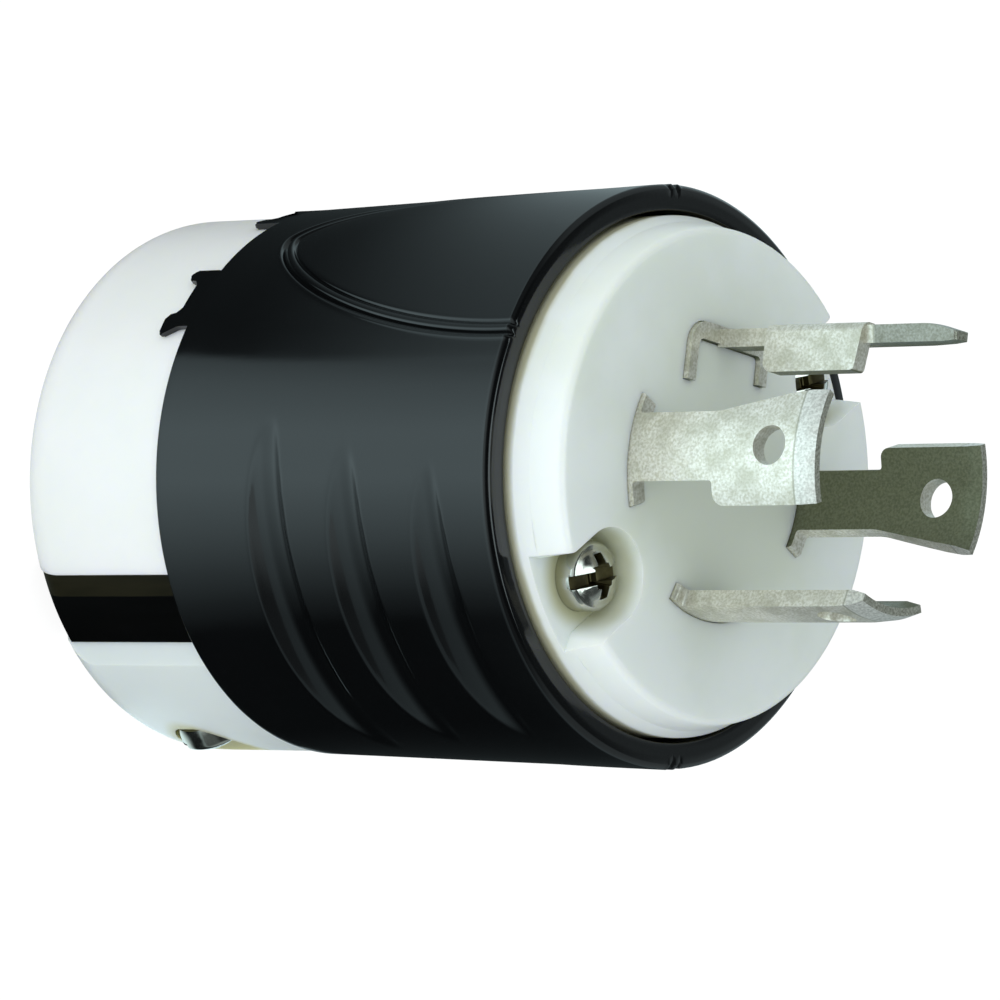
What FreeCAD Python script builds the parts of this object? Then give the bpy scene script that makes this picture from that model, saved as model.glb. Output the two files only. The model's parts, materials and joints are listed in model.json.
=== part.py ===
"""Four-blade locking power plug, standing on its cord end with the blades up. Millimetres.

Z is the plug's axis, with the resting face of the cord clamp at Z = 0. The assembly screws, the
finger grooves and the clamp screws lie on X. The thumb panels lie on Y, and the two clamp halves
come apart along Y. A blade is drawn facing +X and then turned into its place. Its two sides are
called left (+Y, counterclockwise seen from the blade end) and right (-Y).
"""
import FreeCAD, Part
import math
import os

from FreeCAD import Vector

# Lengths along the axis
REAR_LENGTH = 19.1                  # clamp halves, up to the collar
COLLAR_LENGTH = 39.9
FACE_RISE = 5.1                     # face above the collar's front land
BLADE_REACH = 20.2                  # line and neutral blades above the face
GROUND_REACH = 25.9                 # ground blade above the face

# Collar
COLLAR_REAR_R = 25.2
COLLAR_TAPER = 0.9                  # wider at the front than at the rear
COLLAR_RIM_ROUND = 0.45
RIM_WALL = 2.35
COLLAR_WALL = 2.6
LEDGE_DEPTH = 14.0                  # seat of the face body below the front land
COLLAR_REAR_ROUND = 0.3

# Thumb panels, drawn by a groove round a superellipse
PANEL_HALF_WIDTH = 13.8
PANEL_LENGTH = 33.9
PANEL_WIDTH_POWER = 1.6
PANEL_LENGTH_POWER = 1.8
PANEL_GROOVE_R = 0.5

# Finger grooves, from the cord end to the front
GROOVE_BACK = (26.6, 17.2, 7.4)     # behind the front land
GROOVE_WIDTH = (5.3, 5.1, 4.8)
GROOVE_DEPTH = (1.1, 0.95, 0.8)
GROOVE_SPAN = (42.5, 36.0, 32.5)    # degrees each side of X

# Hooked lugs on the collar's rear edge, either side of +Y
LUG_HOOK_ANGLE = 24.7               # degrees from Y
LUG_TOOTH_ANGLE = 11.8
LUG_HEIGHT = 1.5
LUG_TOOTH_HEIGHT = 3.0
LUG_TOOTH_WIDTH = 1.3
LUG_HOOK_LIP = 1.0
LUG_GAP = 0.05

# Face body
INSERT_CLEARANCE = 0.45
INSERT_STEP = 0.6                   # two small steps in from rim to face
INSERT_EDGE = 0.7
INSERT_STEP_RISE = 2.0
INSERT_RIM_RISE = 0.6
INSERT_RIM_ROUND = 0.5
INSERT_ROUND = 0.8
FRONT_WALL = 9.0
SKIRT_T = 1.7
NECK_CLEARANCE = 0.3
NECK_LENGTH = 9.0                   # below the seat
BOSS_R = 3.6
DIVIDER_T = 1.8
ACCESS_R = 3.7                      # terminal screw openings in the neck
SLOT_CLEARANCE = 0.08

# Line and neutral blades; widths are measured round the outer face, from the blade's middle
BLADE_R = 13.0
BLADE_T = 1.6
FIRST_BLADE_ANGLE = 49.2            # ground blade from X; the rest follow every quarter turn
ROOT_HALF = 5.2
ROOT_RISE = 0.5                     # blade roots above the face
BODY_LEFT = 3.0
BODY_RIGHT = 3.2
HOOK_LEFT = 5.25
HOOK_HEIGHT = 9.3                   # catch of the hook above the face
HOOK_ROUND = 1.0
FLARE_RIGHT = 5.5
NEUTRAL_RIGHT = 3.8
BLADE_HOLE_R = 1.75
BLADE_HOLE_HEIGHT = 15.5
NEUTRAL_HOLE_SHIFT = -0.9
STOP_HALF = 6.4                     # stops behind the front wall
STOP_LENGTH = 3.0
COIN_LENGTH = 3.3                   # thinned band below the tip
COIN_DEPTH = 0.15
TIP_BEVEL_LENGTH = 1.4
TIP_BEVEL_OUT = 0.55
TIP_BEVEL_IN = 0.35

# Ground blade
CHANNEL_LEFT = 6.65
CHANNEL_RIGHT = 4.4
CHANNEL_LEG_LEFT = 5.5
CHANNEL_LEG_RIGHT = 4.1
CHANNEL_LEG_T = 1.1
CHANNEL_BEND_R = 2.2
CHANNEL_STOP = 1.0
STRIP_LEFT = 2.9
STRIP_RIGHT = 0.6
TAB_LEFT = 3.3
TAB_DEPTH = 4.4
TAB_BOTTOM = 6.0                    # above the face
TAB_TOP = 16.9
TAB_SLANT = 0.8
TAB_ROUND = 1.0
TAB_FOLD_R = 0.9
NOSE_LENGTH = 5.0
NOSE_DROP = 0.7

# Terminals
TONGUE_HALF = 4.0
TONGUE_CLEARANCE = 0.2
TERMINAL_DEPTH = 23.0               # terminal screws below the face
TERMINAL_SHANK_R = 1.9
TERMINAL_HEAD_R = 3.4
TERMINAL_HEAD_T = 2.4
TERMINAL_LENGTH = 7.0
THREAD_CLEARANCE = 0.05
PLATE_SIZE = 8.0
PLATE_T = 1.2
PLATE_HOLE_CLEARANCE = 0.2
PLATE_CORNER = 1.2

# Wire guide
GUIDE_T = 3.0
GUIDE_CLEARANCE = 0.3
WIRE_HOLE_R = 3.05
WIRE_FUNNEL_R = 4.0
WIRE_OFFSET = 1.4                   # wires outside the blades' circle

# Assembly screws and their threaded inserts
SCREW_EDGE = 5.7                    # from the face body's rim to the screws
SCREW_SHANK_R = 1.75
SCREW_HEAD_R = 3.1
SCREW_HEAD_T = 2.8
SCREW_HEAD_ROUND = 0.6
SCREW_CLEARANCE = 0.15
SCREW_END = 7.0                     # below the wire guide
NUT_R = 2.6
NUT_LENGTH = 8.0
POCKET_DEPTH = 3.9
POCKET_FACE_R = 4.3
POCKET_FLOOR_R = 3.8
POCKET_MOUTH = 1.6                  # wider on each side at the rim
POCKET_MOUTH_LENGTH = 2.2

# Screw drives
SLOT_WIDTH = 0.8
SLOT_DEPTH = 1.5
CROSS_WIDTH = 1.0
CROSS_DEPTH = 1.2
RECESS_R = 1.2                      # cone where the two slots cross
RECESS_DEPTH = 2.0
ASSEMBLY_DRIVE_ANGLE = -18.0

# Cord core
CORE_RECESS = 0.5                   # in from the halves' skin
CORE_LEFT_Y = 4.2
CORE_RIGHT_Y = -3.4
CORE_INSET = 0.9                    # above the resting face
CORE_ROUND = 3.2
BAND_LEFT_Y = 1.8                   # flat band along the core's lower edge
BAND_LEFT_CUT = 0.3
BAND_RIGHT_CUT = 0.7
CORE_FLOOR_T = 3.0
SPIGOT_WALL = 2.0
SPIGOT_LENGTH = 6.0
SPIGOT_CLEARANCE = 0.2
POST_R = 4.2
CORD_R = 9.2

# Clamp halves
HALF_STEP = 0.6                     # in from the collar's rear edge
HALF_ROUND = 5.2
MOVING_SHIFT = 0.4                  # the moving half stands out by this much
EDGE_CUT_X = 1.25
EDGE_CUT_Y = 2.8
CORED_INNER_WALL = 2.8              # pockets in the resting face
CORED_OUTER_WALL = 6.2
CORED_WIDTH = 6.0
CORED_RIB = 1.6
CORED_DEPTH = 15.0
TOOTH_COUNT = 3
TOOTH_PITCH = 3.0
TOOTH_START = 2.2
TOOTH_HEIGHT = 1.1

# Clamp screws and nuts
CLAMP_EDGE = 8.1                    # from the skin to the screws
CLAMP_Z = 8.6
CLAMP_SHANK_R = 2.0
CLAMP_HOLE_CLEARANCE = 0.2
CLAMP_HEAD_R = 3.2
CLAMP_HEAD_T = 2.7
CLAMP_HEAD_INSET = 1.1              # of the head's top, at the screw's line
CLAMP_HEAD_ROUND = 0.9
CLAMP_POCKET_CLEARANCE = 0.35
CLAMP_END_Y = 13.0
CLAMP_NUT_SIZE = 7.0
CLAMP_NUT_T = 2.8
CLAMP_NUT_Y = 8.2
CLAMP_NUT_CLEARANCE = 0.1

# Cord grommet
GROMMET_GRIP = 1.2                  # rim held in the groove
GROMMET_HOLE_R = 7.5
GROMMET_T = 3.6
GROMMET_Z = 11.4
GROMMET_CLEARANCE = 0.05

CUT = 1.0                           # how far a cutter runs past what it cuts

# Heights above the resting face
LAND_Z = REAR_LENGTH + COLLAR_LENGTH
FACE_Z = LAND_Z + FACE_RISE
TIP_Z = FACE_Z + BLADE_REACH
GROUND_TIP_Z = FACE_Z + GROUND_REACH
LEDGE_Z = LAND_Z - LEDGE_DEPTH
WALL_Z = FACE_Z - FRONT_WALL
GUIDE_TOP_Z = LEDGE_Z - NECK_LENGTH
GUIDE_Z = GUIDE_TOP_Z - GUIDE_T
TERMINAL_Z = FACE_Z - TERMINAL_DEPTH
ROOT_Z = WALL_Z - STOP_LENGTH
POCKET_Z = FACE_Z - POCKET_DEPTH

# Sizes that follow from the collar, the blades and the cord
COLLAR_FRONT_R = COLLAR_REAR_R + COLLAR_TAPER
MOUTH_R = COLLAR_FRONT_R - RIM_WALL
BORE_R = COLLAR_REAR_R - COLLAR_WALL
INSERT_R = MOUTH_R - INSERT_CLEARANCE
INSERT_STEP_R = INSERT_R - INSERT_STEP
INSERT_EDGE_R = INSERT_STEP_R - INSERT_EDGE
NECK_R = BORE_R - NECK_CLEARANCE
SKIRT_INNER_R = NECK_R - SKIRT_T
SCREW_PITCH_R = INSERT_R - SCREW_EDGE
WIRE_PITCH_R = BLADE_R + WIRE_OFFSET
HALF_R = COLLAR_REAR_R - HALF_STEP
CORE_R = HALF_R - CORE_RECESS
CORED_INNER_R = CORD_R + CORED_INNER_WALL
CORED_OUTER_R = HALF_R - CORED_OUTER_WALL
GROMMET_R = CORD_R + GROMMET_GRIP
CLAMP_X = HALF_R - CLAMP_EDGE
CLAMP_HEAD_Y = CLAMP_HEAD_INSET - MOVING_SHIFT - math.sqrt(HALF_R ** 2 - CLAMP_X ** 2)

X_AXIS = Vector(1, 0, 0)
Y_AXIS = Vector(0, 1, 0)
Z_AXIS = Vector(0, 0, 1)
ORIGIN = Vector(0, 0, 0)


def corner_stops(before, corner, after, radius):
    """Start, middle and end of the arc that rounds a corner, or the corner itself."""
    if radius == 0:
        return [corner]
    back = (before - corner).normalize()
    ahead = (after - corner).normalize()
    half = back.getAngle(ahead) / 2
    middle = (back + ahead).normalize()
    reach = radius / math.tan(half)
    centre = corner + middle * (radius / math.sin(half))
    return [corner + back * reach, centre - middle * radius, corner + ahead * reach]


def rounded_wire(corners, place):
    """A closed wire through (u, v, radius) corners, laid in space by place."""
    flat = [Vector(u, v, 0) for u, v, _ in corners]
    count = len(corners)
    stops = []
    for i, (_, _, radius) in enumerate(corners):
        stops.append(corner_stops(flat[i - 1], flat[i], flat[(i + 1) % count], radius))
    edges = []
    for i, stop in enumerate(stops):
        if len(stop) == 3:
            edges.append(Part.Arc(*[place(point) for point in stop]).toShape())
        start = place(stop[-1])
        end = place(stops[(i + 1) % count][0])
        if start.distanceToPoint(end) > 1e-6:
            edges.append(Part.makeLine(start, end))
    return Part.Wire(edges)


def turned(corners):
    """A full turn about Z of a closed (radius, height, rounding) outline."""
    face = Part.Face(rounded_wire(corners, lambda p: Vector(p.x, 0, p.y)))
    return face.revolve(ORIGIN, Z_AXIS, 360)


def raised(corners, low, high):
    """An (x, y, rounding) outline raised between two heights."""
    face = Part.Face(rounded_wire(corners, lambda p: Vector(p.x, p.y, low)))
    return face.extrude(Vector(0, 0, high - low))


def radial_prism(corners, radius, near, far):
    """A block whose sides point at the Z axis, round (distance round, height, rounding) corners.

    The distance round is measured at the given radius. The block faces +X from near to far.
    """
    def outline(x):
        return rounded_wire(corners, lambda p: Vector(x, x * math.tan(p.x / radius), p.y))

    return Part.makeLoft([outline(near), outline(far)], True, True)


def ring(outer, inner, low, high):
    """A plain tube between two heights."""
    return turned([(inner, low, 0), (outer, low, 0), (outer, high, 0), (inner, high, 0)])


def rod(radius, low, high, x=0.0, y=0.0):
    """A cylinder along Z."""
    return Part.makeCylinder(radius, high - low, Vector(x, y, low))


def cross_rod(radius, start, end, x, z):
    """A cylinder along Y."""
    return Part.makeCylinder(radius, end - start, Vector(x, start, z), Y_AXIS)


def radial_rod(radius, near, far, z):
    """A cylinder along X, between two distances from the axis."""
    return Part.makeCylinder(radius, far - near, Vector(near, 0, z), X_AXIS)


def box(x0, x1, y0, y1, z0, z1):
    """A box between two corners."""
    return Part.makeBox(x1 - x0, y1 - y0, z1 - z0, Vector(x0, y0, z0))


def spun(shape, degrees):
    """A copy turned about the plug's axis."""
    copy = shape.copy()
    copy.rotate(ORIGIN, Z_AXIS, degrees)
    return copy


def mirrored(shape):
    """A copy on the other side of the YZ plane."""
    return shape.mirror(ORIGIN, X_AXIS)


def both_sides(shape):
    """The shape and its mirror image across the YZ plane."""
    return [shape, mirrored(shape)]


def joined(shapes):
    """One solid from shapes that overlap."""
    return shapes[0].fuse(shapes[1:]).removeSplitter()


def carved(shape, cutters):
    """A shape less all its cutters."""
    return shape.cut(cutters).removeSplitter()


def blade_angle(index):
    """Where a blade stands: 0 ground, 1 line, 2 neutral, 3 line."""
    return FIRST_BLADE_ANGLE + 90 * index


# Collar

def collar_radius(z):
    """The collar's outer radius at a height."""
    return COLLAR_REAR_R + (COLLAR_FRONT_R - COLLAR_REAR_R) * (z - REAR_LENGTH) / COLLAR_LENGTH


def on_collar(distance, z):
    """The point of the collar's skin at a distance round from +Y."""
    radius = collar_radius(z)
    angle = distance / radius
    return Vector(radius * math.sin(angle), radius * math.cos(angle), z)


def panel_groove():
    """The round-bottomed groove that draws one thumb panel, open at the front edge."""
    points = [on_collar(PANEL_HALF_WIDTH, LAND_Z + 2 * CUT)]
    steps = 12
    for step in range(steps + 1):
        turn = math.pi * step / steps
        along = math.sin(turn) ** (2 / PANEL_LENGTH_POWER)
        across = math.copysign(abs(math.cos(turn)) ** (2 / PANEL_WIDTH_POWER), math.cos(turn))
        points.append(on_collar(PANEL_HALF_WIDTH * across, LAND_Z - PANEL_LENGTH * along))
    points.append(on_collar(-PANEL_HALF_WIDTH, LAND_Z + 2 * CUT))
    curve = Part.BSplineCurve()
    curve.interpolate(points)
    path = Part.Wire([curve.toShape()])
    tangent = curve.tangent(curve.FirstParameter)[0]
    section = Part.Wire([Part.makeCircle(PANEL_GROOVE_R, points[0], tangent)])
    return path.makePipeShell([section], True, True)


def finger_groove(back, width, depth, span):
    """A scallop across the -X side, deepest in the middle and fading out at its span."""
    z = LAND_Z - back
    skin = collar_radius(z)
    fade = skin * (1 - math.cos(math.radians(span)))
    shift = (2 * skin * depth - depth ** 2) / (2 * (fade - depth))
    section_r = (width ** 2 / 4 + depth ** 2) / (2 * depth)
    return Part.makeTorus(skin - depth + shift + section_r, section_r, Vector(shift, 0, z), Z_AXIS)


def lug():
    """A web with a tooth and an outward hook, on the rear edge towards -X from +Y."""
    edge = REAR_LENGTH
    web = edge - LUG_HEIGHT
    tip = edge - LUG_TOOTH_HEIGHT
    tooth = math.radians(LUG_TOOTH_ANGLE) * COLLAR_REAR_R
    hook = math.radians(LUG_HOOK_ANGLE) * COLLAR_REAR_R
    half = LUG_TOOTH_WIDTH / 2
    corners = [(tooth - half, edge + CUT, 0), (tooth - half, tip, half * 0.9),
               (tooth + half, tip, half * 0.9), (tooth + half * 1.4, web, 0), (hook - half * 1.6, web, 0),
               (hook - half, tip, half * 0.6), (hook + half + LUG_HOOK_LIP, tip, half * 0.8),
               (hook + half, web + LUG_HEIGHT * 0.3, half * 0.4), (hook + half, edge + CUT, 0)]
    block = radial_prism(corners, COLLAR_REAR_R, HALF_R - 4 * CUT, COLLAR_REAR_R + 4 * CUT)
    shell = ring(COLLAR_REAR_R, HALF_R + LUG_GAP, tip - CUT, edge + CUT)
    return spun(block, 90).common(shell)


def collar():
    """The black sleeve, with its thumb panels, finger grooves and rear lugs."""
    body = turned([
        (BORE_R, REAR_LENGTH, 0),
        (COLLAR_REAR_R, REAR_LENGTH, COLLAR_REAR_ROUND),
        (COLLAR_FRONT_R, LAND_Z, COLLAR_RIM_ROUND),
        (MOUTH_R, LAND_Z, 0),
        (MOUTH_R, LEDGE_Z, 0),
        (BORE_R, LEDGE_Z, 0),
    ])
    cutters = []
    for shape in zip(GROOVE_BACK, GROOVE_WIDTH, GROOVE_DEPTH, GROOVE_SPAN):
        cutters += both_sides(finger_groove(*shape))
    cutters += [panel_groove(), spun(panel_groove(), 180)]
    return joined([carved(body, cutters)] + both_sides(lug()))


# Face body

def screw_pocket():
    """The drafted pocket of one assembly screw, on +X and open to the rim."""
    reach = INSERT_R + CUT
    start = INSERT_R - POCKET_MOUTH_LENGTH
    flare = POCKET_MOUTH * (reach - start) / POCKET_MOUTH_LENGTH
    draft = (POCKET_FACE_R - POCKET_FLOOR_R) / POCKET_DEPTH

    def outline(z):
        radius = POCKET_FLOOR_R + draft * (z - POCKET_Z)
        end = SCREW_PITCH_R - radius
        half = [(reach, radius + flare, 0), (start, radius, POCKET_MOUTH), (end, radius, radius * 0.999)]
        corners = half + [(x, -y, rounding) for x, y, rounding in reversed(half)]
        return rounded_wire(corners, lambda p: Vector(p.x, p.y, z))

    return Part.makeLoft([outline(POCKET_Z), outline(FACE_Z + CUT)], True, True)


def root_opening():
    """The opening for a line or neutral root through the front wall, facing +X."""
    side = ROOT_HALF + SLOT_CLEARANCE
    low, high = WALL_Z - CUT, FACE_Z + CUT
    corners = [(-side, low, 0), (side, low, 0), (side, high, 0), (-side, high, 0)]
    block = radial_prism(corners, BLADE_R, BLADE_R / 2, BLADE_R + CUT)
    outer, inner = BLADE_R + SLOT_CLEARANCE, BLADE_R - BLADE_T - SLOT_CLEARANCE
    return block.common(ring(outer, inner, low - CUT, high + CUT))


def insert_shell():
    """The face body's turned form: stepped rim, front wall, skirt and neck."""
    return turned([
        (0, FACE_Z, 0),
        (INSERT_EDGE_R, FACE_Z, INSERT_ROUND),
        (INSERT_STEP_R, LAND_Z + INSERT_STEP_RISE, INSERT_RIM_ROUND),
        (INSERT_R, LAND_Z + INSERT_RIM_RISE, INSERT_RIM_ROUND),
        (INSERT_R, LEDGE_Z, 0),
        (NECK_R, LEDGE_Z, 0),
        (NECK_R, GUIDE_TOP_Z, 0),
        (SKIRT_INNER_R, GUIDE_TOP_Z, 0),
        (SKIRT_INNER_R, WALL_Z, 0),
        (0, WALL_Z, 0),
    ])


def face_insert():
    """The white face body, with its screw bosses, dividers and blade openings."""
    reach = (SKIRT_INNER_R + NECK_R) / 2
    half = DIVIDER_T / 2
    high = WALL_Z + CUT
    shapes = [insert_shell()]
    shapes += both_sides(rod(BOSS_R, GUIDE_TOP_Z, high, SCREW_PITCH_R))
    shapes += [box(-reach, reach, -half, half, GUIDE_TOP_Z, high),
               box(-half, half, -reach, reach, GUIDE_TOP_Z, high)]
    cutters = both_sides(screw_pocket())
    hole = SCREW_SHANK_R + SCREW_CLEARANCE
    cutters += both_sides(rod(hole, GUIDE_TOP_Z - CUT, POCKET_Z + CUT, SCREW_PITCH_R))
    cutters.append(spun(channel(SLOT_CLEARANCE, WALL_Z - CUT, FACE_Z + CUT), blade_angle(0)))
    cutters += [spun(root_opening(), blade_angle(index)) for index in (1, 2, 3)]
    access = radial_rod(ACCESS_R, BLADE_R + BLADE_T, INSERT_R + CUT, TERMINAL_Z)
    cutters += [spun(access, blade_angle(index)) for index in range(4)]
    return carved(joined(shapes), cutters)


# Blades

def tip_bevels():
    """Turned cutters that thin and bevel a blade's tip, outside and inside."""
    inner = BLADE_R - BLADE_T
    outside = turned([(BLADE_R, TIP_Z - COIN_LENGTH, 0), (BLADE_R - COIN_DEPTH, TIP_Z - TIP_BEVEL_LENGTH, 0),
                      (BLADE_R - TIP_BEVEL_OUT, TIP_Z, 0), (BLADE_R - TIP_BEVEL_OUT, TIP_Z + CUT, 0),
                      (BLADE_R + CUT, TIP_Z + CUT, 0), (BLADE_R + CUT, TIP_Z - COIN_LENGTH, 0)])
    inside = turned([(inner - CUT, TIP_Z - TIP_BEVEL_LENGTH, 0), (inner, TIP_Z - TIP_BEVEL_LENGTH, 0),
                     (inner + TIP_BEVEL_IN, TIP_Z, 0), (inner + TIP_BEVEL_IN, TIP_Z + CUT, 0),
                     (inner - CUT, TIP_Z + CUT, 0)])
    return [outside, inside]


def tongue():
    """The flat terminal tongue behind a blade, facing +X."""
    plate = box(BLADE_R - BLADE_T, BLADE_R, -TONGUE_HALF, TONGUE_HALF,
                GUIDE_TOP_Z + TONGUE_CLEARANCE, ROOT_Z + STOP_LENGTH / 2)
    tap = TERMINAL_SHANK_R + THREAD_CLEARANCE
    return plate.cut(radial_rod(tap, BLADE_R - BLADE_T - CUT, BLADE_R + CUT, TERMINAL_Z))


def curved_plate(corners, outer):
    """The part of a blade's cylinder inside an outline, facing +X."""
    block = radial_prism(corners, outer, outer / 2, outer + CUT)
    return block.common(ring(outer, outer - BLADE_T, ROOT_Z - CUT, GROUND_TIP_Z + CUT))


def curved_blade(left_side, right_side, hole_shift):
    """A blade with its root, stops and tongue, facing +X, from its two side outlines above the root."""
    shoulder = FACE_Z + ROOT_RISE
    corners = [(-STOP_HALF, ROOT_Z, 0.5), (STOP_HALF, ROOT_Z, 0.5), (STOP_HALF, WALL_Z, 0),
               (ROOT_HALF, WALL_Z, 0), (ROOT_HALF, shoulder, 0.4)]
    corners += left_side + right_side
    corners += [(-ROOT_HALF, shoulder, 0.4), (-ROOT_HALF, WALL_Z, 0), (-STOP_HALF, WALL_Z, 0)]
    blade = joined([curved_plate(corners, BLADE_R), tongue()])
    hole = radial_rod(BLADE_HOLE_R, 0, BLADE_R + CUT, FACE_Z + BLADE_HOLE_HEIGHT)
    hole.translate(Vector(0, hole_shift, 0))
    return carved(blade, [hole] + tip_bevels())


def hooked_side():
    """The left side of a blade, from its root up, with the locking hook."""
    catch = FACE_Z + HOOK_HEIGHT
    return [(BODY_LEFT, FACE_Z + ROOT_RISE, 0.3), (BODY_LEFT, catch, 0.3), (HOOK_LEFT, catch, HOOK_ROUND),
            (HOOK_LEFT, TIP_Z, 0)]


def line_blade(index):
    """A line blade, flared towards the tip on the side away from its hook."""
    flare = [(-FLARE_RIGHT, TIP_Z, 0), (-BODY_RIGHT, FACE_Z + HOOK_HEIGHT, 6.0),
             (-BODY_RIGHT, FACE_Z + ROOT_RISE, 0.3)]
    return spun(curved_blade(hooked_side(), flare, 0), blade_angle(index))


def neutral_blade():
    """The neutral blade, straight on the side away from its hook."""
    straight = [(-NEUTRAL_RIGHT, TIP_Z, 0), (-NEUTRAL_RIGHT, FACE_Z + ROOT_RISE, 0.3)]
    return spun(curved_blade(hooked_side(), straight, NEUTRAL_HOLE_SHIFT), blade_angle(2))


def channel(gap, low, high):
    """The bent root of the ground blade, grown by a gap on every side."""
    outer, inner = BLADE_R + gap, BLADE_R - BLADE_T - gap
    left, right = CHANNEL_LEFT + gap, CHANNEL_RIGHT + gap
    wall = CHANNEL_LEG_T + 2 * gap
    left_foot = BLADE_R - CHANNEL_LEG_LEFT - gap
    right_foot = BLADE_R - CHANNEL_LEG_RIGHT - gap
    bend, inner_bend = CHANNEL_BEND_R + gap, CHANNEL_BEND_R - BLADE_T - gap
    corners = [(left_foot, left, 0), (outer, left, bend), (outer, -right, bend), (right_foot, -right, 0),
               (right_foot, wall - right, 0), (inner, wall - right, inner_bend),
               (inner, left - wall, inner_bend), (left_foot, left - wall, 0)]
    return raised(corners, low, high)


def ground_strip():
    """The contact strip of the ground blade, with a nose that drops and narrows to the tip."""
    start = FACE_Z + ROOT_RISE / 3
    nose = GROUND_TIP_Z - NOSE_LENGTH
    narrow = (STRIP_LEFT + STRIP_RIGHT) / 5
    corners = [(-STRIP_RIGHT, start, 0), (STRIP_LEFT, start, 0), (STRIP_LEFT, nose + 1, 3.0),
               (STRIP_LEFT - narrow, GROUND_TIP_Z, 0.3), (narrow - STRIP_RIGHT, GROUND_TIP_Z, 0.3),
               (-STRIP_RIGHT, nose + 1, 3.0)]
    strip = curved_plate(corners, BLADE_R)
    inner = BLADE_R - BLADE_T
    nose_form = turned([(inner, start - CUT, 0), (BLADE_R, start - CUT, 0),
                        (BLADE_R, GROUND_TIP_Z - NOSE_LENGTH / 2, NOSE_LENGTH * 0.9),
                        (BLADE_R - NOSE_DROP, GROUND_TIP_Z, 0.3), (inner + 0.1, GROUND_TIP_Z, 0),
                        (inner, GROUND_TIP_Z - TIP_BEVEL_LENGTH, 0)])
    return strip.common(nose_form)


def ground_tab():
    """The ground blade's hook, folded inwards along the strip's left edge."""
    bottom, top = FACE_Z + TAB_BOTTOM, FACE_Z + TAB_TOP
    inner = BLADE_R - TAB_DEPTH
    fold = [(inner, TAB_LEFT - BLADE_T, 0), (BLADE_R, TAB_LEFT - BLADE_T, 0),
            (BLADE_R, TAB_LEFT, TAB_FOLD_R), (inner, TAB_LEFT, 0)]
    side = [(inner, bottom, TAB_ROUND), (BLADE_R + CUT, bottom, 0),
            (BLADE_R + CUT, top, 0), (inner, top - TAB_SLANT, 0.4)]
    profile = Part.Face(rounded_wire(side, lambda p: Vector(p.x, 0, p.y)))
    plate = profile.extrude(Vector(0, TAB_LEFT + CUT, 0))
    return raised(fold, bottom, top).common(plate)


def ground_blade():
    """The ground blade: channel root with stops, strip, folded hook and tongue."""
    left, right = CHANNEL_LEFT + CHANNEL_STOP, CHANNEL_RIGHT + CHANNEL_STOP
    stops = [(-right, ROOT_Z, 0.5), (left, ROOT_Z, 0.5), (left, WALL_Z, 0), (-right, WALL_Z, 0)]
    shapes = [channel(0, WALL_Z, FACE_Z + ROOT_RISE), curved_plate(stops, BLADE_R),
              ground_strip(), ground_tab(), tongue()]
    return spun(joined(shapes), blade_angle(0))


# Terminals and wire guide

def terminal_screw(index):
    """A slotted terminal screw, its head on the pressure plate."""
    seat = BLADE_R + PLATE_T
    top = seat + TERMINAL_HEAD_T
    head = radial_rod(TERMINAL_HEAD_R, seat, top, TERMINAL_Z)
    shank = radial_rod(TERMINAL_SHANK_R, seat - TERMINAL_LENGTH, seat + CUT, TERMINAL_Z)
    half = SLOT_WIDTH / 2
    slot = box(top - SLOT_DEPTH, top + CUT, -half, half, TERMINAL_Z - TERMINAL_HEAD_R - CUT,
               TERMINAL_Z + TERMINAL_HEAD_R + CUT)
    return spun(carved(joined([head, shank]), [slot]), blade_angle(index))


def pressure_plate(index):
    """The square plate that presses a wire on the tongue."""
    half = PLATE_SIZE / 2
    corners = [(half, TERMINAL_Z + half, PLATE_CORNER), (-half, TERMINAL_Z + half, PLATE_CORNER),
               (-half, TERMINAL_Z - half, PLATE_CORNER), (half, TERMINAL_Z - half, PLATE_CORNER)]
    face = Part.Face(rounded_wire(corners, lambda p: Vector(BLADE_R, p.x, p.y)))
    plate = face.extrude(Vector(PLATE_T, 0, 0))
    radius = TERMINAL_SHANK_R + PLATE_HOLE_CLEARANCE
    hole = radial_rod(radius, BLADE_R - CUT, BLADE_R + PLATE_T + CUT, TERMINAL_Z)
    return spun(plate.cut(hole), blade_angle(index))


def wire_guide():
    """The disc behind the terminals, with a funnel for each wire."""
    disc = rod(BORE_R - GUIDE_CLEARANCE, GUIDE_Z, GUIDE_TOP_Z)
    hole = SCREW_SHANK_R + SCREW_CLEARANCE
    cutters = both_sides(rod(hole, GUIDE_Z - CUT, GUIDE_TOP_Z + CUT, SCREW_PITCH_R))
    for index in range(4):
        angle = math.radians(blade_angle(index))
        x, y = WIRE_PITCH_R * math.cos(angle), WIRE_PITCH_R * math.sin(angle)
        cutters.append(Part.makeCone(WIRE_FUNNEL_R, WIRE_HOLE_R, GUIDE_T / 2, Vector(x, y, GUIDE_Z)))
        cutters.append(rod(WIRE_HOLE_R, GUIDE_Z, GUIDE_TOP_Z + CUT, x, y))
    return carved(disc, cutters)


# Assembly fasteners

def combination_drive(radius, top):
    """Cutters of two crossed slots and the cone at their middle, on the Z axis."""
    half, cross, reach = SLOT_WIDTH / 2, CROSS_WIDTH / 2, radius + CUT
    slot = box(-reach, reach, -half, half, top - SLOT_DEPTH, top + CUT)
    arm = box(-cross, cross, -reach, reach, top - CROSS_DEPTH, top + CUT)
    cone = Part.makeCone(RECESS_R / 2, RECESS_R, RECESS_DEPTH + CUT, Vector(0, 0, top - RECESS_DEPTH))
    return [slot, arm, cone]


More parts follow.
